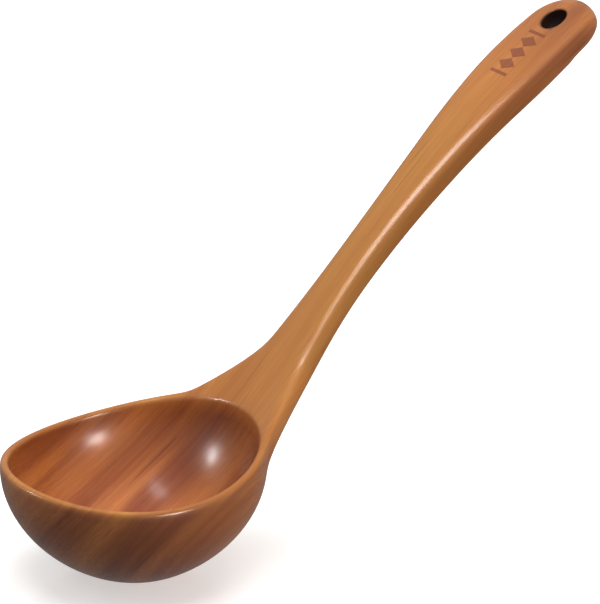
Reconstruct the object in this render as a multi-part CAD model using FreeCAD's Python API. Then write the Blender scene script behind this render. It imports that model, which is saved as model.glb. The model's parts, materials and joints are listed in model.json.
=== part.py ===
"""A one-piece carved wooden ladle with a small let-in wood mark near the end of its handle.

Frame, in millimetres: +Z is up, the origin is the centre of the small flat under the bowl, +X runs from the
bowl towards the handle, and the ladle is symmetric about the XZ plane. The rim is about level, so the handle
rises at roughly 45 degrees, which is how the ladle is held and how it stands on its flat.
"""
import FreeCAD
import Part

import math
import os

from FreeCAD import Vector

# Bowl
BOWL_RADIUS = 44.3        # outside, at the rim
BOWL_FULLNESS = 1.85      # superellipse exponent of its profile: 2 is a true hemisphere
WIDEST_LEVEL = 38.3       # height above the flat where the bowl's wall turns upright
WALL_RIM = 3.0            # wall thickness at the rim
WALL_BOTTOM = 4.5         # wood left under the deepest point of the hollow
FLAT_RADIUS = 8.0         # the sanded flat that the bowl stands on
RIM_ROUND = 1.3           # rounding of the rim's outer edge
LIP_ROUND = 1.0           # rounding of the rim's inner edge

# Rim line in side view, from beyond the tip of the bowl to beyond the neck, as (x, z)
RIM_LINE = [(-52.0, 41.6), (-30.0, 38.8), (-8.0, 39.0), (16.0, 41.9), (34.0, 47.4), (52.0, 56.1)]

# Handle, from inside the bowl's wall to the centre of its rounded end, as
# (x, z of the top face, half width, thickness, how far the underside bellies out)
HANDLE_STATIONS = [
    (24.0, 41.0, 29.4, 9.0, 3.0),
    (35.0, 48.1, 27.0, 10.4, 4.6),
    (45.0, 56.8, 20.3, 10.8, 4.6),
    (58.0, 69.0, 12.9, 9.6, 3.2),
    (72.0, 85.5, 9.8, 8.8, 2.2),
    (90.0, 105.5, 9.4, 9.2, 1.8),
    (108.0, 124.0, 10.8, 9.8, 1.8),
    (126.0, 141.1, 13.1, 10.2, 1.8),
    (144.0, 155.5, 15.1, 10.4, 1.8),
    (160.0, 167.1, 14.6, 10.4, 1.8),
]
TOP_CROWN = 0.7           # how far the top face rises above its edges
TOP_EDGE_ROUND = 3.2      # rounding of the handle's upper long edges
UNDER_EDGE_ROUND = 2.6    # rounding of its lower long edges

# Hanging hole
HOLE_RADIUS = 4.6
HOLE_SETBACK = -2.4       # from the centre of the rounded end back along the handle; negative is past it
HOLE_EASE = 0.6           # the 45 degree ease at each mouth of the hole

# Let-in mark: a row of lozenges between two bars, along the middle of the top face
MARK_SETBACK = 17.4       # from the hole's centre back to the middle of the mark
MARK_DEPTH = 1.0
LOZENGE_COUNT = 3
LOZENGE_LENGTH = 5.0
LOZENGE_WIDTH = 9.0
LOZENGE_PITCH = 5.4
BAR_LENGTH = 1.2
BAR_WIDTH = 9.0
BAR_GAP = 1.0             # from the last lozenge's point to the bar

# How the solids are drawn
PROFILE_STEPS = 12        # spans in the smooth curve of the bowl's profile
HOLLOW_CENTRE_RADIUS = 2.0  # level spot at the deepest point of the hollow
BLANK_TOP = 66.0          # height of the turned blank before the rim line is sawn
REACH = 120.0             # size of a cutting tool that has to pass right across
UPRIGHT = Vector(0, 0, 1)


def xz(x, z):
    """A point in the plane of symmetry."""
    return Vector(x, 0.0, z)


def smooth_curve(points):
    """A smooth curve through the given points."""
    curve = Part.BSplineCurve()
    curve.interpolate(points)
    return curve


def straight_edges(points):
    """The straight edges from each point to the next."""
    return [Part.LineSegment(a, b).toShape() for a, b in zip(points, points[1:])]


def turned(radius, depth, foot_radius):
    """A solid turned about Z: upright above the widest level, a superellipse down to a flat foot below it."""
    power = 2.0 / BOWL_FULLNESS
    last = math.acos((foot_radius / radius) ** (1.0 / power))
    wall = []
    for step in range(PROFILE_STEPS + 1):
        angle = last * step / PROFILE_STEPS
        wall.append(xz(radius * math.cos(angle) ** power, WIDEST_LEVEL - depth * math.sin(angle) ** power))
    corners = [wall[-1], xz(0.0, wall[-1].z), xz(0.0, BLANK_TOP), xz(radius, BLANK_TOP), wall[0]]
    outline = Part.Wire([smooth_curve(wall).toShape()] + straight_edges(corners))
    return Part.Face(outline).revolve(Vector(0, 0, 0), UPRIGHT, 360.0)


def above_rim():
    """Everything above the rim line, as one prism across the whole bowl."""
    line = [xz(x, z) for x, z in RIM_LINE]
    corners = [line[-1], xz(line[-1].x, REACH), xz(line[0].x, REACH), line[0]]
    face = Part.Face(Part.Wire([smooth_curve(line).toShape()] + straight_edges(corners)))
    face.translate(Vector(0, -REACH / 2, 0))
    return face.extrude(Vector(0, REACH, 0))


def upright_wall_edges(shape, radius):
    """The edges, all the way round, where the rim's top meets an upright wall of this radius."""
    edges = []
    for edge in shape.Edges:
        if Part.Compound([edge]).BoundBox.ZMin < WIDEST_LEVEL + 0.1:
            continue
        ends = [edge.valueAt(edge.FirstParameter), edge.valueAt(edge.LastParameter)]
        if all(abs(math.hypot(end.x, end.y) - radius) < 0.05 for end in ends):
            edges.append(edge)
    return edges


def bowl_outside():
    """The outside of the bowl, standing on its flat, sawn to the rim line, its rim's outer edge rounded."""
    missing = (1.0 - (FLAT_RADIUS / BOWL_RADIUS) ** BOWL_FULLNESS) ** (1.0 / BOWL_FULLNESS)
    blank = turned(BOWL_RADIUS, WIDEST_LEVEL / missing, FLAT_RADIUS)
    sawn = blank.cut(above_rim())
    return sawn.makeFillet(RIM_ROUND, upright_wall_edges(sawn, BOWL_RADIUS))


def hollow():
    """The hollow of the bowl, turned about the same axis."""
    return turned(BOWL_RADIUS - WALL_RIM, WIDEST_LEVEL - WALL_BOTTOM, HOLLOW_CENTRE_RADIUS)


def top_line():
    """The line along the middle of the handle's top face."""
    return smooth_curve([xz(station[0], station[1]) for station in HANDLE_STATIONS])


def place_on_top(setback):
    """The point of the top this far back from the rounded end's centre, with the directions along and up.

    Past that centre the top runs straight on.
    """
    edge = top_line().toShape()
    parameter = edge.getParameterByLength(edge.Length - max(setback, 0.0))
    along = edge.tangentAt(parameter)
    point = edge.valueAt(parameter) + along * max(-setback, 0.0)
    return point, along, Vector(-along.z, 0, along.x)


def crowned_face(half_width, crown, corner):
    """Half of a crowned face with a rounded corner, as (across, drop) points from its middle to its side.

    The face is an arc that drops by the crown over the half width, and the corner is an arc tangent to it and
    to the side.
    """
    face_radius = (half_width ** 2 + crown ** 2) / (2.0 * crown)
    lean = math.asin((half_width - corner) / (face_radius - corner))
    middle = (half_width - corner, face_radius - (face_radius - corner) * math.cos(lean))
    turn = 0.5 * (lean + 0.5 * math.pi)
    return [
        (0.0, 0.0),
        (face_radius * math.sin(0.5 * lean), face_radius * (1.0 - math.cos(0.5 * lean))),
        (face_radius * math.sin(lean), face_radius * (1.0 - math.cos(lean))),
        (middle[0] + corner * math.sin(turn), middle[1] - corner * math.cos(turn)),
        (half_width, middle[1]),
    ]


def half_section(origin, up, side, half_width, thickness, belly):
    """One half of the handle's section, from the middle of the top round to the middle of the underside."""
    across = Vector(0, side, 0)
    top = [origin + across * a - up * d for a, d in crowned_face(half_width, TOP_CROWN, TOP_EDGE_ROUND)]
    keel = origin - up * thickness
    under = [keel + across * a + up * d for a, d in crowned_face(half_width, belly, UNDER_EDGE_ROUND)]
    return [
        Part.Arc(*top[0:3]).toShape(),
        Part.Arc(*top[2:5]).toShape(),
        Part.LineSegment(top[4], under[4]).toShape(),
        Part.Arc(*under[4:1:-1]).toShape(),
        Part.Arc(*under[2::-1]).toShape(),
    ]


def handle():
    """The handle from inside the bowl's wall to its rounded end, with every long edge rounded."""
    line = top_line()
    wires = []
    for x, z, half_width, thickness, belly in HANDLE_STATIONS:
        origin = xz(x, z)
        along = line.tangent(line.parameter(origin))[0]
        up = Vector(-along.z, 0, along.x)
        right = half_section(origin, up, 1.0, half_width, thickness, belly)
        left = half_section(origin, up, -1.0, half_width, thickness, belly)
        wires.append(Part.Wire(right + left[::-1]))
    shaft = Part.makeLoft(wires, True, False)
    middle = Part.LineSegment(origin - up * thickness, origin).toShape()
    end = Part.Face(Part.Wire(right + [middle])).revolve(origin, up, -180.0)
    return shaft.fuse(end)


def hanging_hole():
    """What the drill and countersink take away: a bore square to the top face, with both its mouths eased."""
    centre, _, up = place_on_top(HOLE_SETBACK)
    keel = centre - up * HANDLE_STATIONS[-1][3]
    bore = Part.makeCylinder(HOLE_RADIUS, REACH, centre - up * REACH / 2, up)
    wide = HOLE_RADIUS + 2 * HOLE_EASE
    upper = Part.makeCone(HOLE_RADIUS, wide, 2 * HOLE_EASE, centre - up * HOLE_EASE, up)
    lower = Part.makeCone(HOLE_RADIUS, wide, 2 * HOLE_EASE, keel + up * HOLE_EASE, -up)
    return bore.fuse([upper, lower])


def lozenge_outline():
    """A lozenge as (along, across) points, long way across the handle."""
    length, width = LOZENGE_LENGTH / 2, LOZENGE_WIDTH / 2
    return [(-length, 0.0), (0.0, -width), (length, 0.0), (0.0, width)]


def bar_outline():
    """A bar as (along, across) points, across the handle."""
    length, width = BAR_LENGTH / 2, BAR_WIDTH / 2
    return [(-length, -width), (length, -width), (length, width), (-length, width)]


def let_in(body, outline, setback):
    """One piece of the mark: the outline at its place, from just under the top face to flush with it."""
    origin, along, up = place_on_top(setback)
    floor = origin - up * MARK_DEPTH
    corners = [floor + along * a + Vector(0, b, 0) for a, b in outline]
    prism = Part.Face(Part.makePolygon(corners + corners[:1])).extrude(up * (2 * MARK_DEPTH))
    return body.common(prism)


def mark_pieces(body):
    """The mark's pieces by name: a row of lozenges with a bar before and after it."""
    middle = HOLE_SETBACK + MARK_SETBACK
    first = -(LOZENGE_COUNT - 1) / 2 * LOZENGE_PITCH
    pieces = {}
    for number in range(LOZENGE_COUNT):
        name = f"mark_lozenge_{number + 1}"
        pieces[name] = let_in(body, lozenge_outline(), middle + first + number * LOZENGE_PITCH)
    bar_offset = -first + LOZENGE_LENGTH / 2 + BAR_GAP + BAR_LENGTH / 2
    pieces["mark_bar_upper"] = let_in(body, bar_outline(), middle - bar_offset)
    pieces["mark_bar_lower"] = let_in(body, bar_outline(), middle + bar_offset)
    return pieces


def ladle_body():
    """The whole ladle in one piece of wood, before the mark is let in."""
    body = bowl_outside().fuse(handle()).cut(hollow())
    body = body.makeFillet(LIP_ROUND, upright_wall_edges(body, BOWL_RADIUS - WALL_RIM))
    return body.cut(hanging_hole())


def main():
    """Write every node's solid to parts/."""
    os.makedirs("parts", exist_ok=True)
    body = ladle_body()
    nodes = mark_pieces(body)
    for piece in nodes.values():
        body = body.cut(piece)
    nodes["ladle_body"] = body
    for name, shape in nodes.items():
        state = "valid" if shape.isValid() else "NOT VALID"
        print(f"{name}: {state}, {len(shape.Solids)} solid, {shape.Volume:.1f} mm3")
        shape.exportStep(f"parts/{name}.step")


if __name__ == "__main__":
    main()
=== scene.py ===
"""The looks of a carved wooden ladle: one lacquered body, a small let-in mark, and a plain studio.

Everything is in metres in the ladle's own frame: the origin under the bowl, +Z up and +X towards
the handle.
"""
import json
import math

import bmesh
import bpy
import numpy as np
from bpy.props import FloatProperty, FloatVectorProperty, PointerProperty
from mathutils import Matrix, Vector


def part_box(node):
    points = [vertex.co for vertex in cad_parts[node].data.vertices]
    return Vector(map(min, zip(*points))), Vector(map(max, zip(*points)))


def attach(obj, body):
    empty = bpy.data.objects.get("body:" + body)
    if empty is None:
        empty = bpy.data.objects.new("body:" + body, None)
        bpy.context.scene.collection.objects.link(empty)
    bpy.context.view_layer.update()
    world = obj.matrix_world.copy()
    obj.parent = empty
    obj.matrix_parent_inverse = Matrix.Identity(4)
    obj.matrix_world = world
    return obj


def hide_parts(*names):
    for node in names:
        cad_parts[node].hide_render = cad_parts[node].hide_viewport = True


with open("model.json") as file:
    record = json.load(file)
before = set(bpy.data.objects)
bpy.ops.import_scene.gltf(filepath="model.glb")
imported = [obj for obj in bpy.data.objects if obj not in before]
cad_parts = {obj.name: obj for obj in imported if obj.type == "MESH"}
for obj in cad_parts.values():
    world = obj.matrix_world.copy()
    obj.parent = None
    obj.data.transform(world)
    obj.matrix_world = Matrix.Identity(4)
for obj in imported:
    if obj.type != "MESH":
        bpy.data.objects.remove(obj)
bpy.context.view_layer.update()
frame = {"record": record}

bl_info = {
    "name": "Carved Ladle",
    "version": (1, 0, 0),
    "blender": (4, 5, 0),
    "location": "View3D > Sidebar > Ladle",
    "description": "Carves a wooden ladle with its lacquer and its let-in mark, in a plain studio",
    "category": "Add Mesh",
}

MM = 0.001
ROOT = "root"
BODY = "ladle_body"
BODY_LOW, BODY_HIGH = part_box(BODY)
HOLE = next(mount for mount in frame["record"]["mounts"] if mount["name"] == "hanging_hole")

# The handle from the neck to the centre of its rounded end, in millimetres:
# x, z of the top face, half width, thickness, how far the underside bellies out
HANDLE_STATIONS = np.array([
    (58.0, 69.0, 13.3, 9.6, 3.0),
    (72.0, 85.6, 10.6, 8.8, 2.2),
    (90.0, 105.6, 10.1, 9.2, 1.9),
    (108.0, 124.1, 11.5, 9.8, 1.9),
    (126.0, 141.2, 13.9, 10.2, 1.8),
    (144.0, 155.7, 16.0, 10.4, 1.8),
    (160.0, 167.2, 15.2, 10.4, 1.8),
]) * MM


# ---------------------------------------- sizes and colours a user may change

class LadleBowl(bpy.types.PropertyGroup):
    """Sizes of the bowl"""

    radius: FloatProperty(
        name="Radius", description="Outside radius at the rim", unit="LENGTH",
        default=(BODY_HIGH.y - BODY_LOW.y) / 2)
    wall: FloatProperty(
        name="Wall", description="Wall thickness at the rim", unit="LENGTH", default=3.0 * MM)
    bottom: FloatProperty(
        name="Bottom", description="Wood under the deepest point of the hollow", unit="LENGTH",
        default=4.5 * MM)
    fullness: FloatProperty(
        name="Fullness", description="Superellipse exponent of the profile; 2 is a half sphere",
        default=1.87)
    widest: FloatProperty(
        name="Widest level", description="Height where the wall turns upright", unit="LENGTH",
        default=38.3 * MM)
    foot: FloatProperty(
        name="Foot", description="Radius of the flat that the bowl stands on", unit="LENGTH",
        default=8.0 * MM)
    rim_height: FloatProperty(
        name="Rim height", description="Height of the rim at the middle of the bowl", unit="LENGTH",
        default=39.5 * MM)
    rim_slope: FloatProperty(
        name="Rim slope", description="Rise of the rim towards the handle, at the bowl's middle",
        default=0.112)
    rim_curve: FloatProperty(
        name="Rim curve", description="The rim also rises by this times the square of x in metres",
        default=3.0)
    neck_lift: FloatProperty(
        name="Neck lift", unit="LENGTH", default=1.2 * MM,
        description="How far the rim's outer edge stands above its inner one at the neck")
    neck_angle: FloatProperty(
        name="Neck angle", description="Half the angle of the bowl that flows into the handle",
        subtype="ANGLE", default=math.radians(38.0))


class LadleHandle(bpy.types.PropertyGroup):
    """Sizes of the handle"""

    crown: FloatProperty(
        name="Crown", description="How far the top face rises above its edges", unit="LENGTH",
        default=0.8 * MM)
    top_round: FloatProperty(
        name="Top rounding",
        description="Rounding of the upper long edges, as a share of the thickness",
        subtype="FACTOR", default=0.42)
    under_round: FloatProperty(
        name="Under rounding",
        description="Rounding of the lower long edges, as a share of the thickness",
        subtype="FACTOR", default=0.26)
    hole_radius: FloatProperty(
        name="Hole radius", description="Radius of the hanging hole", unit="LENGTH",
        default=HOLE["dims"]["r_mm"] * MM)
    hole_ease: FloatProperty(
        name="Hole ease", description="Rounding of the hole's mouths", unit="LENGTH",
        default=0.7 * MM)


class LadleMark(bpy.types.PropertyGroup):
    """Sizes and colours of the let-in mark: three lozenges between two bars"""

    setback: FloatProperty(
        name="Setback", description="From the centre of the handle's end back to the mark's middle",
        unit="LENGTH", default=15.0 * MM)
    length: FloatProperty(
        name="Lozenge length", description="Along the handle", unit="LENGTH", default=5.0 * MM)
    width: FloatProperty(
        name="Width", description="Across the handle", unit="LENGTH", default=9.0 * MM)
    pitch: FloatProperty(
        name="Pitch", description="From one lozenge's middle to the next", unit="LENGTH",
        default=5.4 * MM)
    gap: FloatProperty(
        name="Gap", description="From the last lozenge's point to the bar", unit="LENGTH",
        default=1.0 * MM)
    bar: FloatProperty(
        name="Bar length", description="Of a bar along the handle", unit="LENGTH", default=1.2 * MM)
    proud: FloatProperty(
        name="Proud", description="How far the mark stands above the top face", unit="LENGTH",
        default=0.03 * MM)
    depth: FloatProperty(
        name="Depth", description="How deep the mark is let in", unit="LENGTH", default=1.0 * MM)
    light: FloatVectorProperty(
        name="Light wood", description="Colour of its pale grain", subtype="COLOR",
        default=(0.36, 0.105, 0.036))
    dark: FloatVectorProperty(
        name="Dark wood", description="Colour of its dark grain", subtype="COLOR",
        default=(0.26, 0.068, 0.024))


class LadleWood(bpy.types.PropertyGroup):
    """Colours of the wood and its lacquer"""

    outer_light: FloatVectorProperty(
        name="Outer light", description="Pale grain of the outer wood", subtype="COLOR",
        default=(0.60, 0.255, 0.050))
    outer_dark: FloatVectorProperty(
        name="Outer dark", description="Dark grain of the outer wood", subtype="COLOR",
        default=(0.48, 0.165, 0.030))
    outer_line: FloatVectorProperty(
        name="Outer line", description="Dark lines and fibres of the outer wood", subtype="COLOR",
        default=(0.31, 0.085, 0.020))
    heart_light: FloatVectorProperty(
        name="Heart light", description="Pale grain of the heartwood", subtype="COLOR",
        default=(0.74, 0.255, 0.062))
    heart_dark: FloatVectorProperty(
        name="Heart dark", description="Dark grain of the heartwood", subtype="COLOR",
        default=(0.30, 0.070, 0.024))
    heart_line: FloatVectorProperty(
        name="Heart line", description="Dark lines and fibres of the heartwood", subtype="COLOR",
        default=(0.17, 0.036, 0.014))
    lacquer: FloatProperty(
        name="Lacquer", description="How much clear lacquer lies on the wood", subtype="FACTOR",
        default=0.7)
    lacquer_roughness: FloatProperty(
        name="Lacquer roughness", description="0 is a mirror gloss", subtype="FACTOR", default=0.23)


class LadleStudio(bpy.types.PropertyGroup):
    """The camera and its lights"""

    distance: FloatProperty(
        name="Distance", description="From the camera to the point it looks at", unit="LENGTH",
        default=1.3105)
    azimuth: FloatProperty(
        name="Azimuth", description="Turn of the view about the vertical, from +Y", subtype="ANGLE",
        default=math.radians(-31.607))
    elevation: FloatProperty(
        name="Elevation", description="How far the camera looks down", subtype="ANGLE",
        default=math.radians(19.667))
    roll: FloatProperty(
        name="Roll", description="Turn of the camera about its view", subtype="ANGLE",
        default=math.radians(0.92))
    lens: FloatProperty(
        name="Lens", description="Focal length", unit="CAMERA", default=234.2)
    target: FloatVectorProperty(
        name="Target", description="The point that the camera looks at", subtype="XYZ",
        default=(0.06365, 0.0008, 0.0833))
    surround: FloatProperty(
        name="Surround", description="Brightness all round and above", default=0.4)
    below: FloatProperty(
        name="Below", description="Brightness that comes up from below", default=0.2)
    fill: FloatProperty(name="Fill", description="Brightness of the panel in front", default=4.4)
    overhead: FloatProperty(
        name="Overhead", description="Brightness of the panel overhead", default=3.6)
    back: FloatProperty(
        name="Back", description="Brightness of the panel behind the bowl", default=1.4)
    edge: FloatProperty(
        name="Edge", description="Brightness of the strip for the handle's edge", default=26.0)
    window: FloatProperty(
        name="Window", description="Brightness of the near window, two thirds of the far one's",
        default=42.0)


# ---------------------------------------- mesh tools

def grid_faces(rows, closed=False):
    """The quads of a grid of vertex numbers; a closed one joins its last column to its first."""
    if closed:
        rows = np.c_[rows, rows[:, :1]]
    quads = np.stack([rows[:-1, :-1], rows[:-1, 1:], rows[1:, 1:], rows[1:, :-1]], axis=-1)
    return quads.reshape(-1, 4)


def fan_faces(ring, centre):
    """The triangles from a closed ring of vertex numbers to one centre vertex."""
    return np.stack([ring, np.roll(ring, -1), np.full_like(ring, centre)], axis=-1)


def build_piece(name, points, quads, triangles):
    """A closed mesh object with its normals outward; points that no face uses are dropped."""
    used, renumbered = np.unique(np.r_[quads.ravel(), triangles.ravel()], return_inverse=True)
    quads, triangles = np.split(renumbered, [quads.size])
    faces = quads.reshape(-1, 4).tolist() + triangles.reshape(-1, 3).tolist()
    mesh = bpy.data.meshes.new(name)
    mesh.from_pydata(points[used].tolist(), [], faces)
    work = bmesh.new()
    work.from_mesh(mesh)
    bmesh.ops.recalc_face_normals(work, faces=work.faces)
    work.to_mesh(mesh)
    work.free()
    mesh.shade_smooth()
    piece = bpy.data.objects.new(name, mesh)
    bpy.context.scene.collection.objects.link(piece)
    return piece


def add_subdivision(piece, levels):
    """Smooth the piece with a live subdivision surface."""
    smooth = piece.modifiers.new("smooth", "SUBSURF")
    smooth.levels = levels
    smooth.render_levels = levels


def smooth_between(knots, values, at):
    """A cubic Hermite curve through the values at the knots, with slopes from their neighbours."""
    slopes = np.gradient(values, knots, axis=0, edge_order=2)
    span = np.clip(np.searchsorted(knots, at, side="right") - 1, 0, len(knots) - 2)
    width = (knots[span + 1] - knots[span])[..., None]
    t = (at - knots[span])[..., None] / width
    start, end = values[span], values[span + 1]
    start_slope, end_slope = slopes[span] * width, slopes[span + 1] * width
    ease = t * t * (3 - 2 * t)
    return (start + (end - start) * ease
            + start_slope * t * (1 - t) ** 2 - end_slope * t * t * (1 - t))


# ---------------------------------------- the carved body

# the bowl's grid
REST_STEPS = 17           # steps round half of the bowl, from the neck to the front
HOLLOW_TURNS = np.radians([84, 74, 64, 54, 45, 36, 28, 20, 13, 6])[:, None]  # t of its inner rings
WALL_RINGS = 11           # rings down the outer wall
FOOT_RINGS = np.array([[0.93], [0.5]])  # rings on the foot, as shares of its radius
UNDER_LIP = 2.2 * MM      # how far below the rim line the lip starts and ends
# rings over the lip: how far out from the inner wall, and how far up from the rim line
LIP = np.array([
    (0, -2.2), (0.1, -0.9), (0.6, -0.15), (1.5, 0.05), (2.4, -0.15), (2.9, -0.9), (3.0, -2.2)]) * MM
LIFT_START = math.radians(75)  # angle round the bowl where its outer edge starts to lift

# the handle's grid
HALF_STRIPS = 4           # strips of its top, from the middle to where the rim's lip joins
SIDE_ROWS = 6             # rows from that line over the edge and down the side
AROUND = 2 * (2 * HALF_STRIPS + SIDE_ROWS)
TOP_LINES = np.array([0, 0.23, 0.46, 0.69, 0.87, 0.94, 1])  # shares of the top's flat half width
UNDER_LINES = np.array([0.75, 0.5, 0.25, 0])  # shares of the underside's flat half width
CORNER_IN = 0.2           # from a corner to the line that rounds it, as a share of the rounding
CORNER_DOWN = 0.22        # the same, down from the top face at the upper corner
CORNER_UP = 0.8           # up from the underside to where the side ends, as a share of the rounding
FAR_RINGS = 20            # rings from the neck to the hole
NEAR_RINGS = 4            # rings from there to the centre of the rounded end
NEAR_STEP = 1.95 * MM     # spacing of those
CAP_ROWS = 5              # rows round the rounded end
HOLE_REACH = 3            # grid steps from the middle of the hole to its rim
# rings from a mouth of the hole into its bore, in units of its ease: how far out, and how deep
HOLE_EASE = np.array([(1, 0), (0.25, 0.25), (0, 1), (0, 2.2)])

# the neck's lines
NECK_RINGS = 6            # rings between the bowl and the handle
NECK_LEAVE = 0.85         # pull of the lines where they leave the bowl, as a share of their length
NECK_ARRIVE = 0.5         # pull of the lines where they arrive at the handle
UNDER_LEAVE = 0.5         # the same two for the lines under the neck
UNDER_ARRIVE = 1.0
UP_HANDLE = (0.60, 0, 0.80)  # the way that the top's middle line leaves the lip
UP_WALL = (0.25, 0, 1)    # the way that the underside's lines leave the bowl's wall
RIM_TURN = 1.2            # power of the turn from up the handle to along the rim
WALL_TURN = 1.5           # power of the turn from along the rim to up the wall


def rim_height(sizes, x):
    """Height of the rim at x: that at the middle, plus the slope times x and the curve times x^2."""
    return sizes.rim_height + sizes.rim_slope * x + sizes.rim_curve * x * x


def bowl_angles(sizes):
    """Angles round the bowl from the handle's middle, finer at the neck, mirrored about it."""
    neck = np.linspace(0, sizes.neck_angle, HALF_STRIPS + 1)
    rest = np.linspace(sizes.neck_angle, math.pi, REST_STEPS + 1)[1:]
    half = np.r_[neck, rest]
    return np.r_[half, -half[-2:0:-1]]


def bowl_points(sizes):
    """Rings from the bottom of the hollow, over the lip, to the foot, as (ring, angle, xyz).

    Each wall is a superellipse in side view, radius * cos(t)^p out and height * (1 - sin(t)^p) up
    with p = 2 / fullness. The inner one reaches the foot of the lip at every angle. The outer one,
    cut off and drawn down where its radius is the foot's, reaches the widest level, which gives
    way smoothly to a level a little under the lip, and the wall is upright above. The lip is seven
    rings laid round the thickness of the wall, and its outer edge lifts with the square of the way
    to the neck. Returns the points and the number of the first ring of the lip.
    """
    angles = bowl_angles(sizes)[None, :]
    power = 2.0 / sizes.fullness
    inner = sizes.radius - sizes.wall
    top = rim_height(sizes, sizes.radius * np.cos(angles))

    hollow_out = inner * np.cos(HOLLOW_TURNS) ** power + 0 * angles
    hollow_share = 1 - np.sin(HOLLOW_TURNS) ** power
    hollow_up = sizes.bottom + (top - UNDER_LIP - sizes.bottom) * hollow_share

    lip_out = inner + LIP[:, :1] + 0 * angles
    to_neck = np.clip((LIFT_START - np.abs(angles)) / (LIFT_START - sizes.neck_angle), 0, 1)
    lift = sizes.neck_lift * to_neck ** 2
    lip_up = top + LIP[:, 1:] + lift * LIP[:, :1] / sizes.wall

    under_rim = top + lift - UNDER_LIP
    margin = 1.0 * MM
    excess = sizes.widest - (top - UNDER_LIP - margin)
    widest = sizes.widest - (excess + np.hypot(excess, margin)) / 2
    foot = math.acos((sizes.foot / sizes.radius) ** (1 / power))
    t = np.linspace(0, foot, WALL_RINGS)[:, None]
    level = 1 - math.sin(foot) ** power
    wall_out = sizes.radius * np.vstack([1 + 0 * angles, np.cos(t) ** power + 0 * angles])
    wall_up = np.vstack([
        (under_rim + widest) / 2, widest * (1 - np.sin(t) ** power - level) / (1 - level),
    ])
    flat_out = FOOT_RINGS * sizes.foot + 0 * angles

    out = np.vstack([hollow_out, lip_out, wall_out, flat_out])
    up = np.vstack([hollow_up, lip_up, wall_up, 0 * flat_out])
    return np.stack([out * np.cos(angles), out * np.sin(angles), up], axis=-1), len(hollow_out)


def handle_knots():
    """Length along the handle's top to each station, from 0 at the last back to the neck."""
    chords = np.linalg.norm(np.diff(HANDLE_STATIONS[:, :2], axis=0), axis=1)
    lengths = np.r_[0, np.cumsum(chords)]
    return lengths - lengths[-1]


def along_handle(setback):
    """The middle of the handle's top, this far beyond its last station, or before it if negative.

    Beyond it the line runs on straight. Returns the point, the direction along, the direction out
    of the top, and the station values there.
    """
    knots = handle_knots()
    inside = np.minimum(setback, 0)
    values = smooth_between(knots, HANDLE_STATIONS, inside)
    step = 0.05 * MM
    before = smooth_between(knots, HANDLE_STATIONS, inside - step)
    slope = (values - before)[..., :2]
    slope = slope / np.linalg.norm(slope, axis=-1, keepdims=True)
    zero = np.zeros_like(inside)
    along = np.stack([slope[..., 0], zero, slope[..., 1]], axis=-1)
    up = np.stack([-slope[..., 1], zero, slope[..., 0]], axis=-1)
    point = np.stack([values[..., 0], zero, values[..., 1]], axis=-1)
    point = point + along * np.maximum(setback, 0)[..., None]
    return point, along, up, values


def on_handle(setback, across, drop):
    """Points of the handle: so far along, across and down from the middle line of its top."""
    point, _, up, _ = along_handle(setback)
    side = np.array([0.0, 1.0, 0.0])
    return point + across[..., None] * side - drop[..., None] * up


def half_section(sizes, values):
    """Half of the handle's section as (across, drop), from the middle of its top to that under it.

    The top falls by the crown times the square of the way across, the edge and the side follow,
    and the underside rises from the thickness by the belly times that square.
    """
    half_width, thickness, belly = values[..., 2:3], values[..., 3:4], values[..., 4:5]
    top, under = sizes.top_round * thickness, sizes.under_round * thickness
    face = (half_width - top) * TOP_LINES
    shoulder = half_width - CORNER_IN * top
    fold = half_width - CORNER_IN * under
    keel = fold * UNDER_LINES
    across = np.concatenate([face, shoulder, half_width, half_width, fold, keel], axis=-1)
    drop = np.concatenate([
        sizes.crown * (face / half_width) ** 2,
        sizes.crown + CORNER_DOWN * top,
        sizes.crown + top,
        thickness - belly - CORNER_UP * under,
        thickness - belly - CORNER_IN * under,
        thickness - belly * (keel / half_width) ** 2,
    ], axis=-1)
    return across, drop


def both_sides(across, drop):
    """The whole closed section from its right half, going on round its left half."""
    return np.c_[across, -across[:, -2:0:-1]], np.c_[drop, drop[:, -2:0:-1]]


def handle_points(sizes):
    """The handle's rings from the neck to its last station, then round its end.

    Returns the points as (ring, around, xyz) and the number of the ring at the last station. Round
    the end, a square of the grid is laid on the quarter circle of each of its lines: x and y on
    the square become x * sqrt(1 - y^2 / 2) ahead and y * sqrt(1 - x^2 / 2) aside.
    """
    near = -NEAR_STEP * np.arange(NEAR_RINGS, -1, -1)
    setbacks = np.r_[np.linspace(handle_knots()[0], near[0], FAR_RINGS), near[1:]]
    _, _, _, values = along_handle(setbacks)
    across, drop = both_sides(*half_section(sizes, values))
    shaft = on_handle(np.repeat(setbacks[:, None], AROUND, axis=1), across, drop)

    across, drop = half_section(sizes, values[-1])
    first, last = HALF_STRIPS, HALF_STRIPS + SIDE_ROWS
    reach = np.r_[
        np.full(first, across[first]), across[first:last], np.full(first + 1, across[last])]
    y = np.clip(across / reach, 0, 1)
    x = (np.arange(1, CAP_ROWS + 1) / CAP_ROWS)[:, None]
    ahead = reach * x * np.sqrt(1 - y * y / 2)
    aside = reach * y * np.sqrt(1 - x * x / 2)
    far_out = np.hypot(ahead, aside) / across.max()
    fall = np.repeat(drop[None, :], CAP_ROWS, axis=0)
    fall[:, :first] = (sizes.crown * far_out ** 2)[:, :first]
    _, _, thickness, belly = values[-1, 1:5]
    fall[:, last + 1:] = (thickness - belly * far_out ** 2)[:, last + 1:]
    ahead = np.c_[ahead, ahead[:, -2:0:-1]]
    aside, fall = both_sides(aside, fall)
    cap = on_handle(ahead, aside, fall)
    return np.concatenate([shaft, cap]), len(setbacks) - 1


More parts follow.
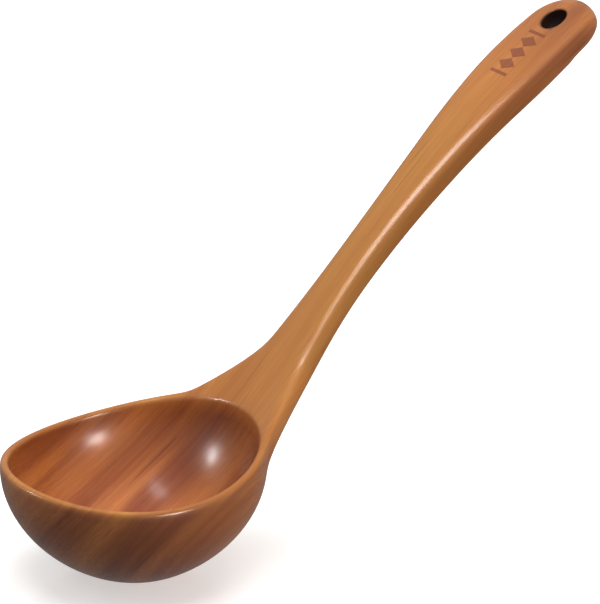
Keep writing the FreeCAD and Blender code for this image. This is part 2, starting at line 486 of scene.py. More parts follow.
def end_points(sizes):
    """The band that closes the rounded end, as (row down from the top, column across, xyz).

    Each row keeps its distance from the end's centre, and goes round the middle half of its half
    circle as the front edge of the square does, at x = 1.
    """
    _, _, _, values = along_handle(np.zeros(1))
    across, drop = half_section(sizes, values[0])
    rows = slice(HALF_STRIPS + 1, HALF_STRIPS + SIDE_ROWS)
    reach, fall = across[rows, None], drop[rows, None]
    y = np.linspace(-1, 1, 2 * HALF_STRIPS + 1)[None, 1:-1]
    aside = reach * y * math.sqrt(0.5)
    ahead = reach * np.sqrt(1 - y * y / 2)
    return on_handle(ahead, aside, fall + 0 * y)


def neck_rings(start, end, start_pull, end_pull, count):
    """Rings between two: each line is a cubic Hermite curve with the given pulls at its ends."""
    t = (np.arange(1, count + 1) / (count + 1))[:, None, None]
    ease = t * t * (3 - 2 * t)
    return start + (end - start) * ease + start_pull * t * (1 - t) ** 2 - end_pull * t * t * (1 - t)


def neck_pulls(sizes, start, end):
    """How hard and which way the neck's lines leave the bowl's opening and arrive at the handle.

    The middle line of the top leaves the lip up the handle, and the others turn away from it
    towards the rim. Lines of the side turn from along the rim to up the bowl's wall, as those of
    the underside leave. All arrive along the handle, drawing in with its width.
    """
    half = 2 * HALF_STRIPS + SIDE_ROWS
    number = np.arange(AROUND)
    number = np.where(number > half, number - AROUND, number)
    side = np.sign(number)
    number = np.abs(number)
    length = np.linalg.norm(end - start, axis=-1, keepdims=True)

    angle = sizes.neck_angle
    slope = sizes.rim_slope + 2 * sizes.rim_curve * sizes.radius * math.cos(angle)
    rise = math.sin(angle) * slope + 2 * sizes.neck_lift / (sizes.radius * (LIFT_START - angle))
    one = np.ones(AROUND)
    along_rim = np.stack([math.sin(angle) * one, -math.cos(angle) * side, rise * one], axis=-1)
    rim_share = np.clip(number / HALF_STRIPS, 0, 1)[:, None] ** RIM_TURN
    under_share = np.clip((number - HALF_STRIPS - 1) / (SIDE_ROWS - 1), 0, 1)[:, None] ** WALL_TURN
    leave = np.array(UP_HANDLE) * (1 - rim_share) + along_rim * rim_share
    leave = leave * (1 - under_share) + np.array(UP_WALL) * under_share
    leave = leave / np.linalg.norm(leave, axis=-1, keepdims=True)

    step = 2 * MM
    _, along, _, values = along_handle(handle_knots()[0] + np.array([0, step]))
    narrowing = (values[1, 2] - values[0, 2]) / step / values[0, 2]
    arrive = along[0] + np.stack([0 * one, end[:, 1] * narrowing, 0 * one], axis=-1)
    leave_pull = NECK_LEAVE + (UNDER_LEAVE - NECK_LEAVE) * under_share
    arrive_pull = NECK_ARRIVE + (UNDER_ARRIVE - NECK_ARRIVE) * under_share
    return leave * length * leave_pull, arrive * length * arrive_pull


def hole_points(sizes, count):
    """Rings down the hanging hole, square to the top face: a straight bore between eased mouths.

    Each ring is a circle about the hole's axis, as much larger as smoothing its corners draws it
    in: a third of (2 + the cosine of one step round).
    """
    centre, along, _, values = along_handle(np.zeros(1))
    centre_ahead = float((np.array(HOLE["pos_m"]) - centre[0]) @ along[0])
    half_width, thickness, belly = values[0, 2:5]
    ease = sizes.hole_ease * HOLE_EASE
    turn = 2 * math.pi / count
    angle = np.arange(count) * turn
    shrink = (2 + math.cos(turn)) / 3
    reach = (sizes.hole_radius + np.r_[ease[:, 0], 0.0, ease[::-1, 0]])[:, None] / shrink
    ahead = centre_ahead + reach * np.cos(angle)
    aside = reach * np.sin(angle)
    out = (np.maximum(ahead, 0) ** 2 + aside ** 2) / half_width ** 2
    top, under = sizes.crown * out, thickness - belly * out
    rows = len(ease)
    drop = np.vstack([
        top[:rows] + ease[:, 1:],
        (top + under)[rows:rows + 1] / 2,
        under[rows + 1:] - ease[::-1, 1:],
    ])
    return on_handle(0 * ahead, aside, drop) + ahead[..., None] * along[0]


def hole_walk():
    """Grid steps (along, across) round the square that becomes the hole's rim, from dead ahead."""
    reach = HOLE_REACH
    side = np.r_[-reach:reach + 1]
    full = np.full_like(side, reach)
    return np.vstack([
        np.c_[full, side][reach:-1], np.c_[-side, full][:-1], np.c_[-full, -side][:-1],
        np.c_[side, -full][:-1], np.c_[full, side][:reach],
    ])


def carve_body(bowl, handle):
    """The whole ladle as one closed mesh: the bowl's rings, the handle's, and the bored hole."""
    bowl_grid, lip = bowl_points(bowl)
    rings, around = bowl_grid.shape[:2]
    numbers = np.arange(rings * around).reshape(rings, around)

    first_ring = lip + 2
    last_ring = first_ring + SIDE_ROWS
    ring_of = np.r_[
        [first_ring] * HALF_STRIPS, first_ring:last_ring, [last_ring] * (HALF_STRIPS + 1)]
    column_of = np.r_[0:HALF_STRIPS, [HALF_STRIPS] * SIDE_ROWS, HALF_STRIPS:-1:-1]
    opening = np.r_[numbers[ring_of, column_of], numbers[ring_of, -column_of][-2:0:-1]]

    shaft, last_full = handle_points(handle)
    start = bowl_grid.reshape(-1, 3)[opening]
    leave, arrive = neck_pulls(bowl, start, shaft[0])
    neck = neck_rings(start, shaft[0], leave, arrive, NECK_RINGS)
    tube = np.concatenate([neck, shaft])
    middle_row = len(neck) + last_full

    offset = rings * around
    tube_numbers = offset + np.arange(tube.shape[0] * AROUND).reshape(-1, AROUND)
    offset += tube_numbers.size
    band = end_points(handle)
    band_numbers = offset + np.arange(band.shape[0] * band.shape[1]).reshape(band.shape[:2])
    offset += band_numbers.size
    poles = np.array([[0, 0, bowl.bottom], [0, 0, 0]])

    # bowl, without the opening that the neck grows from
    keep = np.ones((rings - 1, around), bool)
    keep[first_ring:last_ring, :HALF_STRIPS] = False
    keep[first_ring:last_ring, -HALF_STRIPS:] = False
    bowl_faces = grid_faces(numbers, closed=True)[keep.ravel()]

    # neck and handle, without the mouths of the hole
    tube_rows = np.vstack([opening, tube_numbers])
    keep = np.ones((tube_rows.shape[0] - 1, AROUND), bool)
    hole_row = middle_row + 2
    half = AROUND // 2
    span = slice(hole_row - HOLE_REACH, hole_row + HOLE_REACH)
    keep[span, :HOLE_REACH] = False
    keep[span, -HOLE_REACH:] = False
    keep[span, half - HOLE_REACH:half + HOLE_REACH] = False
    tube_faces = grid_faces(tube_rows, closed=True)[keep.ravel()]

    # the end: top columns, band, underside columns
    last = tube_numbers[-1]
    columns = np.r_[-HALF_STRIPS:HALF_STRIPS + 1]
    left = last[-HALF_STRIPS - 1:-HALF_STRIPS - SIDE_ROWS:-1][:, None]
    right = last[HALF_STRIPS + 1:HALF_STRIPS + SIDE_ROWS][:, None]
    sides = np.hstack([left, band_numbers, right])
    end_faces = grid_faces(np.vstack([last[columns], sides, last[half - columns]]))

    # the hole: its two mouths laid on circles, and the bore between them
    walk = hole_walk()
    hole = hole_points(handle, len(walk))
    top_rim = tube_numbers[hole_row - 1 + walk[:, 0], walk[:, 1]]
    under_rim = tube_numbers[hole_row - 1 + walk[:, 0], half - walk[:, 1]]
    bore_numbers = offset + np.arange((len(hole) - 2) * len(walk)).reshape(-1, len(walk))
    offset += bore_numbers.size
    hole_faces = grid_faces(np.vstack([top_rim, bore_numbers, under_rim]), closed=True)
    tube = tube.reshape(-1, 3)
    tube[top_rim - tube_numbers[0, 0]] = hole[0]
    tube[under_rim - tube_numbers[0, 0]] = hole[-1]

    points = np.concatenate([
        bowl_grid.reshape(-1, 3), tube, band.reshape(-1, 3), hole[1:-1].reshape(-1, 3), poles,
    ])
    quads = np.concatenate([bowl_faces, tube_faces, end_faces, hole_faces])
    triangles = np.concatenate([
        fan_faces(numbers[0], offset), fan_faces(numbers[-1], offset + 1),
    ])
    return build_piece("ladle_carved_body", points, quads, triangles)


# ---------------------------------------- the let-in mark

MARK_STEPS = 9            # grid points across each piece of the mark
MARK_SHARP = math.radians(40)  # its edges that turn by more than this stay sharp


def let_in(name, handle, mark, ahead, length, lozenge):
    """One piece of the mark as a closed mesh: a slab with its top just proud of the handle's top.

    Its plan is the square of s and t from -1 to 1. A bar has along = s * length / 2 and across =
    t * width / 2, and a lozenge along = (s + t) * length / 4 and across = (s - t) * width / 4. Its
    top follows the handle's crowned face, and so does its bottom lower down, with upright walls.
    """
    steps = np.linspace(-1, 1, MARK_STEPS)
    s, t = np.meshgrid(steps, steps, indexing="ij")
    along, aside = s * length / 2, t * mark.width / 2
    if lozenge:
        along, aside = (s + t) * length / 4, (s - t) * mark.width / 4
    setback = ahead - mark.setback + along
    _, _, _, values = along_handle(setback)
    fall = handle.crown * (aside / values[..., 2]) ** 2
    top = on_handle(setback, aside, fall - mark.proud)
    bottom = on_handle(setback, aside, fall + mark.depth)
    upper = np.arange(top[..., 0].size).reshape(top.shape[:2])
    lower = upper + upper.size
    rim = np.r_[upper[0, :-1], upper[:-1, -1], upper[-1, :0:-1], upper[:0:-1, 0]]
    walls = grid_faces(np.vstack([rim, rim + upper.size]), closed=True)
    quads = np.concatenate([grid_faces(upper), grid_faces(lower), walls])
    points = np.concatenate([top.reshape(-1, 3), bottom.reshape(-1, 3)])
    piece = build_piece(name, points, quads, np.zeros((0, 3), int))
    piece.data.set_sharp_from_angle(angle=MARK_SHARP)
    return piece


# ---------------------------------------- materials

GRAIN = "grain"           # attribute: metres along the fibres, along the year rings and across them
HEART_AND_PAINTED_LIGHT = "heart_and_painted_light"           # attribute: 0 is the paler outer wood, 1 the redder heartwood; it also carries painted light and shade
PAINTED_SHADE = "painted_shade"   # attribute: painted shade, how far the wood darkens to near black; 1 down the hole, for the shadow in it
RING_TILT = 0.77          # how much the year rings lean over across the handle
BOWL_SLOPE = 0.72         # slope of the fibres through the bowl, as far as BOWL_END
BOWL_END = 20 * MM
PLANK = np.linspace(-60, 190, 251) * MM  # the plank from end to end, along x, in steps of 1 mm

# how red the wood is, with some painted light and shade in it, and the stretches that this
# changes over, in x unless they say otherwise
HEART_AT_RIM = 0.2        # on the rim
HEART_BELOW = 0.8         # added below the rim
PAINTED_LIGHT_PALER = 0.45        # painted light: taken away on the outer wall near the handle, paler where it is lit
HEART_AND_SHADE_AT_END = 0.9           # at the handle's end, partly painted shade that darkens it
SHELL = (0.94, 0.98)      # out through the wall, in outer superellipses
RIM_BAND = (-0.5 * MM, 3 * MM)  # down past the rim line
LEAVES_BOWL = (36 * MM, 64 * MM)
# painted light: where the outer wall turns paler towards the lit side by the handle
TURNS_PALER = (-12 * MM, 30 * MM)
NEARS_END = (108 * MM, 165 * MM)

# painted shade: how far the wood darkens to near black, and the stretches it changes over
SHADE_BY_NECK = 0.45        # in the hollow by the neck
SHADE_IN_FRONT = 0.28       # on the outer wall in front
SHADE_AT_END = 0.25         # at the handle's end
BORE = (1.03, 1.14)       # out from the hanging hole's axis, in its radii
NEARS_NECK = (18 * MM, 44 * MM)
LEAVES_FRONT = (-35 * MM, 15 * MM)
ROUNDS_END = (135 * MM, 170 * MM)


def ease_over(stretch, x):
    """0 before the stretch, 1 beyond it, and a smooth step along it."""
    low, high = stretch
    t = np.clip((x - low) / (high - low), 0, 1)
    return t * t * (3 - 2 * t)


def grain_at(points):
    """Where each point is in the plank: along the fibres, along the year rings and across them.

    The fibres follow the line of the handle's top, and run on through the bowl at a lesser slope.
    Across the fibres a point has its distance from that line in the ladle's middle plane and its
    distance from the plane, and the year rings lean between the two.
    """
    x, z = HANDLE_STATIONS[:, 0], HANDLE_STATIONS[:, 1]
    slopes = np.interp(PLANK, np.r_[BOWL_END, x], np.r_[BOWL_SLOPE, np.gradient(z, x)])
    step = PLANK[1] - PLANK[0]
    lengths = np.cumsum(np.hypot(1, slopes)) * step
    heights = np.cumsum(slopes) * step
    heights = heights - np.interp(x[0], PLANK, heights) + z[0]
    slope = np.interp(points[:, 0], PLANK, slopes)
    above = points[:, 2] - np.interp(points[:, 0], PLANK, heights)
    steepness = np.hypot(1, slope)
    away = above / steepness
    along = np.interp(points[:, 0], PLANK, lengths) + above * slope / steepness
    lean = math.hypot(1, RING_TILT)
    rings = (points[:, 1] - RING_TILT * away) / lean
    across = (away + RING_TILT * points[:, 1]) / lean
    return np.stack([along, rings, across], axis=-1)


def outside_at(points, bowl):
    """1 on the bowl's outer wall and 0 in its hollow, by the share of the outer superellipse."""
    out = np.hypot(points[:, 0], points[:, 1]) / bowl.radius
    down = np.clip(1 - points[:, 2] / bowl.widest, 0, 1)
    shell = (out ** bowl.fullness + down ** bowl.fullness) ** (1 / bowl.fullness)
    return ease_over(SHELL, shell)


def heart_and_painted_light_at(points, bowl):
    """How red the wood is: most in the hollow and low on the bowl, and at the handle's end.

    Part of it is painted light and shade: the outer wall by the handle is paler where it is lit,
    and the handle's end redder and darker.
    """
    x, z = points[:, 0], points[:, 2]
    in_bowl = 1 - ease_over(LEAVES_BOWL, x)
    below = ease_over(RIM_BAND, rim_height(bowl, x) - z)
    # painted light: the outer wall by the handle made paler where it is lit
    paler = PAINTED_LIGHT_PALER * outside_at(points, bowl) * ease_over(TURNS_PALER, x)
    redness = in_bowl * (HEART_AT_RIM + (HEART_BELOW - paler) * below)
    # partly painted shade: the handle's end redder and darker
    return np.maximum(redness, HEART_AND_SHADE_AT_END * ease_over(NEARS_END, x))


def painted_shade_at(points, bowl):
    """Painted shade: how far the wood darkens towards near black.

    1 down the hanging hole, standing for the shadow in its bore, fading out over its eased mouths
    by the distance to its axis, and a part of that as painted shade at the handle's end, in the
    hollow by the neck and on the wall in front.
    """
    axis = np.array(HOLE["axis"])
    offset = points - np.array(HOLE["pos_m"])
    aside = np.linalg.norm(offset - (offset @ axis)[:, None] * axis, axis=1)
    bored = 1 - ease_over(BORE, aside / (HOLE["dims"]["r_mm"] * MM))
    x = points[:, 0]
    outside = outside_at(points, bowl)
    below = ease_over((0, RIM_BAND[1]), rim_height(bowl, x) - points[:, 2])
    by_neck = SHADE_BY_NECK * ease_over(NEARS_NECK, x) * below * (1 - outside)
    in_front = SHADE_IN_FRONT * (1 - ease_over(LEAVES_FRONT, x)) * below * outside
    at_end = SHADE_AT_END * ease_over(ROUNDS_END, x)
    return np.maximum.reduce([bored, by_neck, in_front, at_end])


def mark_grain(piece, bowl):
    """Write the plank's coordinates, the redness and the painted shade into the piece's points."""
    mesh = piece.data
    flat = np.empty(3 * len(mesh.vertices))
    mesh.vertices.foreach_get("co", flat)
    points = flat.reshape(-1, 3)
    for name, kind, field, values in (
            (GRAIN, "FLOAT_VECTOR", "vector", grain_at(points).ravel()),
            (HEART_AND_PAINTED_LIGHT, "FLOAT", "value", heart_and_painted_light_at(points, bowl)),
            (PAINTED_SHADE, "FLOAT", "value", painted_shade_at(points, bowl))):
        mesh.attributes.new(name, kind, "POINT").data.foreach_set(field, values)


def add_node(tree, kind, label, **settings):
    """A node with its label and its settings."""
    node = tree.nodes.new(kind)
    node.label = label
    for name, value in settings.items():
        setattr(node, name, value)
    return node


def set_inputs(node, **values):
    """Set a node's inputs by name, with an underscore for each space."""
    for name, value in values.items():
        node.inputs[name.replace("_", " ")].default_value = value


def stretched_noise(tree, vector, label, lengths, detail, low, high):
    """A noise drawn out to the lengths, and a smooth step from 0 at its low value to 1 at high.

    The lengths are in millimetres along the fibres, along the year rings and across them.
    """
    squeeze = add_node(tree, "ShaderNodeVectorMath", label + " size", operation="MULTIPLY")
    squeeze.inputs[1].default_value = [1 / (length * MM) for length in lengths]
    tree.links.new(vector, squeeze.inputs[0])
    noise = add_node(tree, "ShaderNodeTexNoise", label)
    set_inputs(noise, Scale=1.0, Detail=detail, Roughness=NOISE_ROUGHNESS)
    tree.links.new(squeeze.outputs[0], noise.inputs["Vector"])
    spread = add_node(
        tree, "ShaderNodeMapRange", label + " contrast", interpolation_type="SMOOTHSTEP")
    set_inputs(spread, From_Min=low, From_Max=high)
    tree.links.new(noise.outputs[0], spread.inputs["Value"])
    return spread.outputs["Result"]


def feed(tree, sockets, values):
    """Link or set each socket, as its value is an output of a node or a plain value."""
    for socket, value in zip(sockets, values):
        if isinstance(value, bpy.types.NodeSocket):
            tree.links.new(value, socket)
        else:
            socket.default_value = value


def mix_colour(tree, label, factor, first, second):
    """Mix two colours by the factor."""
    mix = add_node(tree, "ShaderNodeMix", label, data_type="RGBA")
    colours = [socket for socket in mix.inputs if socket.type == "RGBA"]
    feed(tree, [mix.inputs["Factor"], *colours], (factor, first, second))
    return next(socket for socket in mix.outputs if socket.type == "RGBA")


def calculate(tree, label, operation, *values):
    """One step of arithmetic."""
    node = add_node(tree, "ShaderNodeMath", label, operation=operation)
    feed(tree, node.inputs, values)
    return node.outputs[0]


# the grain's noises: lengths, detail, and the values where each starts and ends its step
NOISE_ROUGHNESS = 0.55
GRAIN_NOISES = {
    "bands": ((170, 90, 10), 1.0, 0.36, 0.64),
    "rings": ((110, 40, 2.4), 3.0, 0.30, 0.70),
    "lines": ((70, 22, 1.5), 2.0, 0.62, 0.74),
    "fibres": ((16, 3.0, 0.42), 3.0, 0.25, 0.75),
    "pores": ((2.6, 0.5, 0.16), 1.0, 0.66, 0.78),
}
BANDS_SHARE = 0.7         # of the tone; the rings have the rest
SHADE_COLOUR = (0.035, 0.011, 0.006, 1)  # near-black painted shade, for the hole's shadow and the darkened parts
GRAIN_RELIEF = (0.25, 0.03 * MM)  # strength and depth of the open grain


def wood_grain_group():
    """The grain that both woods share, from five noises: bands, rings, lines, fibres and pores.

    The tone is 0.7 bands + 0.3 rings, and mixes Dark to Light. Then Line is mixed in three times:
    by lines * Line Strength, by (1 - fibres) * Fibre Strength, and by pores * Fibre Strength. The
    roughness goes from Rough to Smooth as fibres go from 0 to 1, and the height is fibres - pores.
    """
    tree = bpy.data.node_groups.new("wood_grain", "ShaderNodeTree")
    for way, kind, names in (
            ("INPUT", "NodeSocketVector", ("Place",)),
            ("INPUT", "NodeSocketColor", ("Light", "Dark", "Line")),
            ("INPUT", "NodeSocketFloat", ("Line Strength", "Fibre Strength", "Smooth", "Rough")),
            ("OUTPUT", "NodeSocketColor", ("Colour",)),
            ("OUTPUT", "NodeSocketFloat", ("Roughness", "Height"))):
        for name in names:
            tree.interface.new_socket(name=name, in_out=way, socket_type=kind)
    given = add_node(tree, "NodeGroupInput", "given")
    result = add_node(tree, "NodeGroupOutput", "result")
    place = given.outputs["Place"]

    bands, rings, lines, fibres, pores = (
        stretched_noise(tree, place, label, *numbers) for label, numbers in GRAIN_NOISES.items())

    share = calculate(tree, "ring share", "MULTIPLY", rings, 1 - BANDS_SHARE)
    tone = calculate(tree, "tone", "MULTIPLY_ADD", bands, BANDS_SHARE, share)
    colour = mix_colour(tree, "bands in", tone, given.outputs["Dark"], given.outputs["Light"])
    worn = calculate(tree, "dark fibres", "SUBTRACT", 1.0, fibres)
    for label, part, strength in (
            ("lines", lines, "Line Strength"), ("fibres", worn, "Fibre Strength"),
            ("pores", pores, "Fibre Strength")):
        amount = calculate(tree, label + " amount", "MULTIPLY", part, given.outputs[strength])
        colour = mix_colour(tree, label + " in", amount, colour, given.outputs["Line"])
    tree.links.new(colour, result.inputs["Colour"])

    gloss = add_node(tree, "ShaderNodeMapRange", "roughness from the fibres")
    tree.links.new(fibres, gloss.inputs["Value"])
    tree.links.new(given.outputs["Rough"], gloss.inputs["To Min"])
    tree.links.new(given.outputs["Smooth"], gloss.inputs["To Max"])
    tree.links.new(gloss.outputs["Result"], result.inputs["Roughness"])
    height = calculate(tree, "height", "SUBTRACT", fibres, pores)
    tree.links.new(height, result.inputs["Height"])
    return tree


def lacquered_wood(name, grain, light, dark, line, strengths, roughness, coat):
    """A wood under clear lacquer, with its open grain as a faint relief.

    light, dark and line are pairs of colours, mixed from the outer wood's to the heartwood's by
    the redness, which also carries some painted light and shade. The grain's colour then darkens
    towards a near-black painted shade by the painted shade attribute. strengths are the line's and
    the fibre's, roughness is the smooth and the rough one, and coat is the lacquer's amount and
    roughness.
    """
    material = bpy.data.materials.new(name)
    material.use_nodes = True
    tree = material.node_tree
    shader = tree.nodes["Principled BSDF"]
    place = add_node(tree, "ShaderNodeAttribute", "place in the plank", attribute_name=GRAIN)
    # the redness, which also carries painted light and painted shade
    heart_and_painted_light = add_node(tree, "ShaderNodeAttribute", "heartwood", attribute_name=HEART_AND_PAINTED_LIGHT)
    group = add_node(tree, "ShaderNodeGroup", "grain", node_tree=grain)
    tree.links.new(place.outputs["Vector"], group.inputs["Place"])
    for socket, (outer, inner) in (("Light", light), ("Dark", dark), ("Line", line)):
        mixed = mix_colour(tree, socket.lower(), heart_and_painted_light.outputs["Fac"], (*outer, 1), (*inner, 1))
        tree.links.new(mixed, group.inputs[socket])
    set_inputs(group, Line_Strength=strengths[0], Fibre_Strength=strengths[1],
               Smooth=roughness[0], Rough=roughness[1])
    # painted shade: the wood darkens towards a near-black colour where this attribute is high
    cut = add_node(tree, "ShaderNodeAttribute", "painted shade share", attribute_name=PAINTED_SHADE)
    colour = mix_colour(tree, "mix in painted shade", cut.outputs["Fac"], group.outputs["Colour"], SHADE_COLOUR)
    tree.links.new(colour, shader.inputs["Base Color"])
    tree.links.new(group.outputs["Roughness"], shader.inputs["Roughness"])
    bump = add_node(tree, "ShaderNodeBump", "open grain")
    set_inputs(bump, Strength=GRAIN_RELIEF[0], Distance=GRAIN_RELIEF[1])
    tree.links.new(group.outputs["Height"], bump.inputs["Height"])
    tree.links.new(bump.outputs["Normal"], shader.inputs["Normal"])
    set_inputs(shader, IOR=1.5, Specular_IOR_Level=0.2, Coat_Weight=coat[0],
               Coat_Roughness=coat[1], Coat_IOR=1.5)
    return material


# ---------------------------------------- operators

class LADLE_OT_carve_body(bpy.types.Operator):
    """Carve the bowl, the neck and the handle as one piece of wood"""

    bl_idname = "ladle.carve_body"
    bl_label = "Carve body"

    def execute(self, context):
        scene = context.scene
        piece = carve_body(scene.ladle_bowl, scene.ladle_handle)
        mark_grain(piece, scene.ladle_bowl)
        add_subdivision(piece, 2)
        wood = scene.ladle_wood
        piece.data.materials.append(lacquered_wood(
            "lacquered_wood", shared_grain(), light=(wood.outer_light, wood.heart_light),
            dark=(wood.outer_dark, wood.heart_dark), line=(wood.outer_line, wood.heart_line),
            strengths=(0.5, 0.24), roughness=(0.36, 0.52),
            coat=(wood.lacquer, wood.lacquer_roughness)))
        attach(piece, ROOT)
        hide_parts(BODY)
        return {"FINISHED"}


class LADLE_OT_let_in_mark(bpy.types.Operator):
    """Let the mark's lozenges and bars of darker wood into the handle's top"""

    bl_idname = "ladle.let_in_mark"
    bl_label = "Let in mark"

    def execute(self, context):
        scene = context.scene
        handle, mark = scene.ladle_handle, scene.ladle_mark
        wood = lacquered_wood(
            "mark_wood", shared_grain(), light=(mark.light,) * 2, dark=(mark.dark,) * 2,
            line=(mark.dark,) * 2, strengths=(0.3, 0.5), roughness=(0.4, 0.55),
            coat=(scene.ladle_wood.lacquer, scene.ladle_wood.lacquer_roughness))
        offset = mark.pitch + mark.length / 2 + mark.gap + mark.bar / 2
        plans = {
            "mark_lozenge_1": (mark.pitch, mark.length, True),
            "mark_lozenge_2": (0.0, mark.length, True),
            "mark_lozenge_3": (-mark.pitch, mark.length, True),
            "mark_bar_upper": (offset, mark.bar, False),
            "mark_bar_lower": (-offset, mark.bar, False),
        }
        for node, (ahead, length, lozenge) in plans.items():
            name = node.replace("mark_", "let_in_")
            piece = let_in(name, handle, mark, ahead, length, lozenge)
            mark_grain(piece, scene.ladle_bowl)
            piece.data.materials.append(wood)
            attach(piece, ROOT)
            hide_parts(node)
        return {"FINISHED"}


def shared_grain():
    """The grain's node group, made the first time that it is asked for."""
    return bpy.data.node_groups.get("wood_grain") or wood_grain_group()


class LADLE_OT_set_studio(bpy.types.Operator):
    """Set up the pale floor, the soft lights and the camera"""

    bl_idname = "ladle.set_studio"
    bl_label = "Set up studio"

    def execute(self, context):
        studio = context.scene.ladle_studio
        place_camera(context.scene, studio)
        lay_floor()
        hang_lights(context.scene, studio)
        return {"FINISHED"}


def direction(azimuth, elevation):
    """The unit vector at an azimuth from +X and an elevation above the level."""
    level = math.cos(elevation)
    return Vector((math.cos(azimuth) * level, math.sin(azimuth) * level, math.sin(elevation)))


def place_camera(scene, studio):
    """Put the camera back from its target along its view, rolled a little about it."""
    view = direction(studio.azimuth + math.pi / 2, -studio.elevation)
    level = direction(studio.azimuth, 0)
    rolled = Matrix.Rotation(-studio.roll, 3, view) @ level
    up = rolled.cross(view)
    data = bpy.data.cameras.new("camera")
    data.lens = studio.lens
    data.sensor_width = 36.0
    data.clip_end = 20.0
    camera = bpy.data.objects.new("camera", data)
    turn = Matrix((rolled, up, -view)).transposed().to_4x4()
    camera.matrix_world = Matrix.Translation(Vector(studio.target) - view * studio.distance) @ turn
    scene.collection.objects.link(camera)
    scene.camera = camera


FLOOR_REACH = 6.0
FLOOR_COLOURS = (0.90, 0.88, 0.86, 1), (0.92, 0.90, 0.88, 1)
FLOOR_GLOW = 0.5          # the floor's own light, which the camera sees and the ladle doesn't


def lay_floor():
    """A large pale floor, a little glossy, with faint clouds in its colour and its roughness.

    Both go from their first value to their second by one noise with clouds of 90 mm.
    """
    mesh = bpy.data.meshes.new("floor")
    side = FLOOR_REACH
    corners = [(-side, -side, 0), (side, -side, 0), (side, side, 0), (-side, side, 0)]
    mesh.from_pydata(corners, [], [(0, 1, 2, 3)])
    floor = bpy.data.objects.new("floor", mesh)
    bpy.context.scene.collection.objects.link(floor)
    material = bpy.data.materials.new("floor")
    material.use_nodes = True
    tree = material.node_tree
    shader = tree.nodes["Principled BSDF"]
    place = add_node(tree, "ShaderNodeTexCoord", "place on the floor")
    clouds = stretched_noise(tree, place.outputs["Object"], "clouds", (90, 90, 90), 2.0, 0.3, 0.7)
    colour = mix_colour(tree, "pale", clouds, *FLOOR_COLOURS)
    tree.links.new(colour, shader.inputs["Base Color"])
    gloss = add_node(tree, "ShaderNodeMapRange", "gloss")
    set_inputs(gloss, To_Min=0.16, To_Max=0.20)
    tree.links.new(clouds, gloss.inputs["Value"])
    tree.links.new(gloss.outputs["Result"], shader.inputs["Roughness"])
    set_inputs(shader, IOR=1.6, Emission_Color=(1, 1, 1, 1), Emission_Strength=FLOOR_GLOW)
    mesh.materials.append(material)
    floor.visible_diffuse = False
    floor.visible_glossy = False
    floor.visible_shadow = False


def hang_lights(scene, studio):
    """A pale surround that darkens below the level, three wide panels, a strip and two windows.

    The panels light the wood. The strip and the windows only make the lacquer's highlights, one
    along the handle's edge and two in the hollow of the bowl.
    """
    scene.view_settings.view_transform = "Standard"
    world = bpy.data.worlds.new("studio") if scene.world is None else scene.world
    scene.world = world
    world.use_nodes = True
    tree = world.node_tree
    way = add_node(tree, "ShaderNodeTexCoord", "way out")
    level = add_node(tree, "ShaderNodeSeparateXYZ", "level")
    tree.links.new(way.outputs["Generated"], level.inputs["Vector"])
    fade = add_node(tree, "ShaderNodeMapRange", "darker below")
    set_inputs(fade, From_Min=-0.5, From_Max=0.5, To_Min=studio.below, To_Max=studio.surround)
    tree.links.new(level.outputs["Z"], fade.inputs["Value"])
    tree.nodes["Background"].inputs["Color"].default_value = (1, 1, 1, 1)
    tree.links.new(fade.outputs["Result"], tree.nodes["Background"].inputs["Strength"])
    # each with its azimuth, elevation, distance, size and brightness
    hang_light(scene, "overhead_panel", 0, 88, 2.0, (1.8, 1.8), studio.overhead, gloss=False)
    hang_light(scene, "fill_panel", -30, -8, 1.6, (0.9, 0.9), studio.fill, gloss=False)
    hang_light(scene, "back_panel", 182, 50, 1.6, (0.8, 0.5), studio.back, gloss=False)
    hang_light(scene, "edge_strip", 176, 52, 0.62, (0.32, 0.17), studio.edge,
               wash=False, spread=29, middle=(0.110, 0, 0.129))
    hang_light(scene, "far_window", 150, 15, 1.2, (0.28, 0.40), 1.5 * studio.window,
               wash=False, spread=12, middle=(0.036, 0.008, 0.031))
    hang_light(scene, "near_window", -88, 10, 0.24, (0.070, 0.065), studio.window,
               wash=False, spread=26, middle=(0.007, 0.039, 0.031))


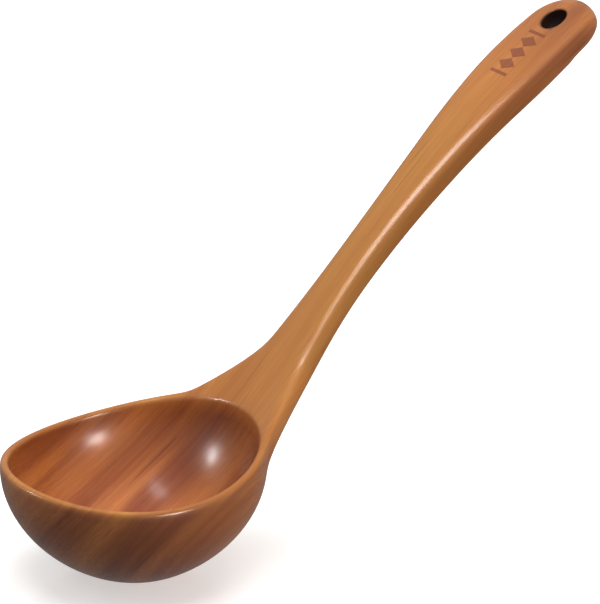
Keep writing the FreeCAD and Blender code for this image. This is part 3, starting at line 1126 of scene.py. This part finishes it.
def hang_light(scene, name, azimuth, elevation, distance, size, radiance, wash=True, gloss=True,
               spread=180, middle=(0, 0, 0.03)):
    """A soft box facing the middle, seen from it at the azimuth and the elevation, in degrees.

    Without the wash it only shows in the gloss, and without the gloss it only washes the wood. A
    narrower spread, in degrees, keeps it off what isn't near the middle, and the energy then falls
    so that its brightness along its axis stays the radiance: it falls by sin(a)^2 -
    (a - sin(a) cos(a)) / tan(a), where a is half the spread.
    """
    data = bpy.data.lights.new(name, "AREA")
    data.shape = "RECTANGLE"
    data.size, data.size_y = size
    data.spread = math.radians(spread)
    half = data.spread / 2
    share = math.sin(half) ** 2 - (half - math.sin(half) * math.cos(half)) / math.tan(half)
    data.energy = radiance * math.pi * size[0] * size[1] * share
    light = bpy.data.objects.new(name, data)
    outward = direction(math.radians(azimuth), math.radians(elevation))
    turn = outward.to_track_quat("Z", "Y").to_matrix().to_4x4()
    light.matrix_world = Matrix.Translation(outward * distance + Vector(middle)) @ turn
    light.visible_camera = False
    light.visible_diffuse = wash
    light.visible_glossy = gloss
    scene.collection.objects.link(light)


class LADLE_PT_bench(bpy.types.Panel):
    """The ladle's sizes and its operators"""

    bl_label = "Ladle"
    bl_idname = "LADLE_PT_bench"
    bl_space_type = "VIEW_3D"
    bl_region_type = "UI"
    bl_category = "Ladle"

    def draw(self, context):
        column = self.layout.column()
        for settings in (getattr(context.scene, name) for name in SETTINGS):
            for name in settings.bl_rna.properties.keys():
                if name not in ("rna_type", "name"):
                    column.prop(settings, name)
        for operator in OPERATORS:
            column.operator(operator.bl_idname)


OPERATORS = (LADLE_OT_set_studio, LADLE_OT_carve_body, LADLE_OT_let_in_mark)
SETTINGS = {
    "ladle_bowl": LadleBowl, "ladle_handle": LadleHandle, "ladle_mark": LadleMark,
    "ladle_wood": LadleWood, "ladle_studio": LadleStudio,
}


def register():
    """Add the classes, and the settings to the scene."""
    for cls in (*SETTINGS.values(), *OPERATORS, LADLE_PT_bench):
        bpy.utils.register_class(cls)
    for name, cls in SETTINGS.items():
        setattr(bpy.types.Scene, name, PointerProperty(type=cls))


def unregister():
    """Take the settings and the classes away again."""
    for name in SETTINGS:
        delattr(bpy.types.Scene, name)
    for cls in (LADLE_PT_bench, *reversed(OPERATORS), *reversed(SETTINGS.values())):
        bpy.utils.unregister_class(cls)


def main():
    """Make every piece in order."""
    register()
    bpy.ops.ladle.set_studio()
    bpy.ops.ladle.carve_body()
    bpy.ops.ladle.let_in_mark()


if __name__ == "__main__":
    main()
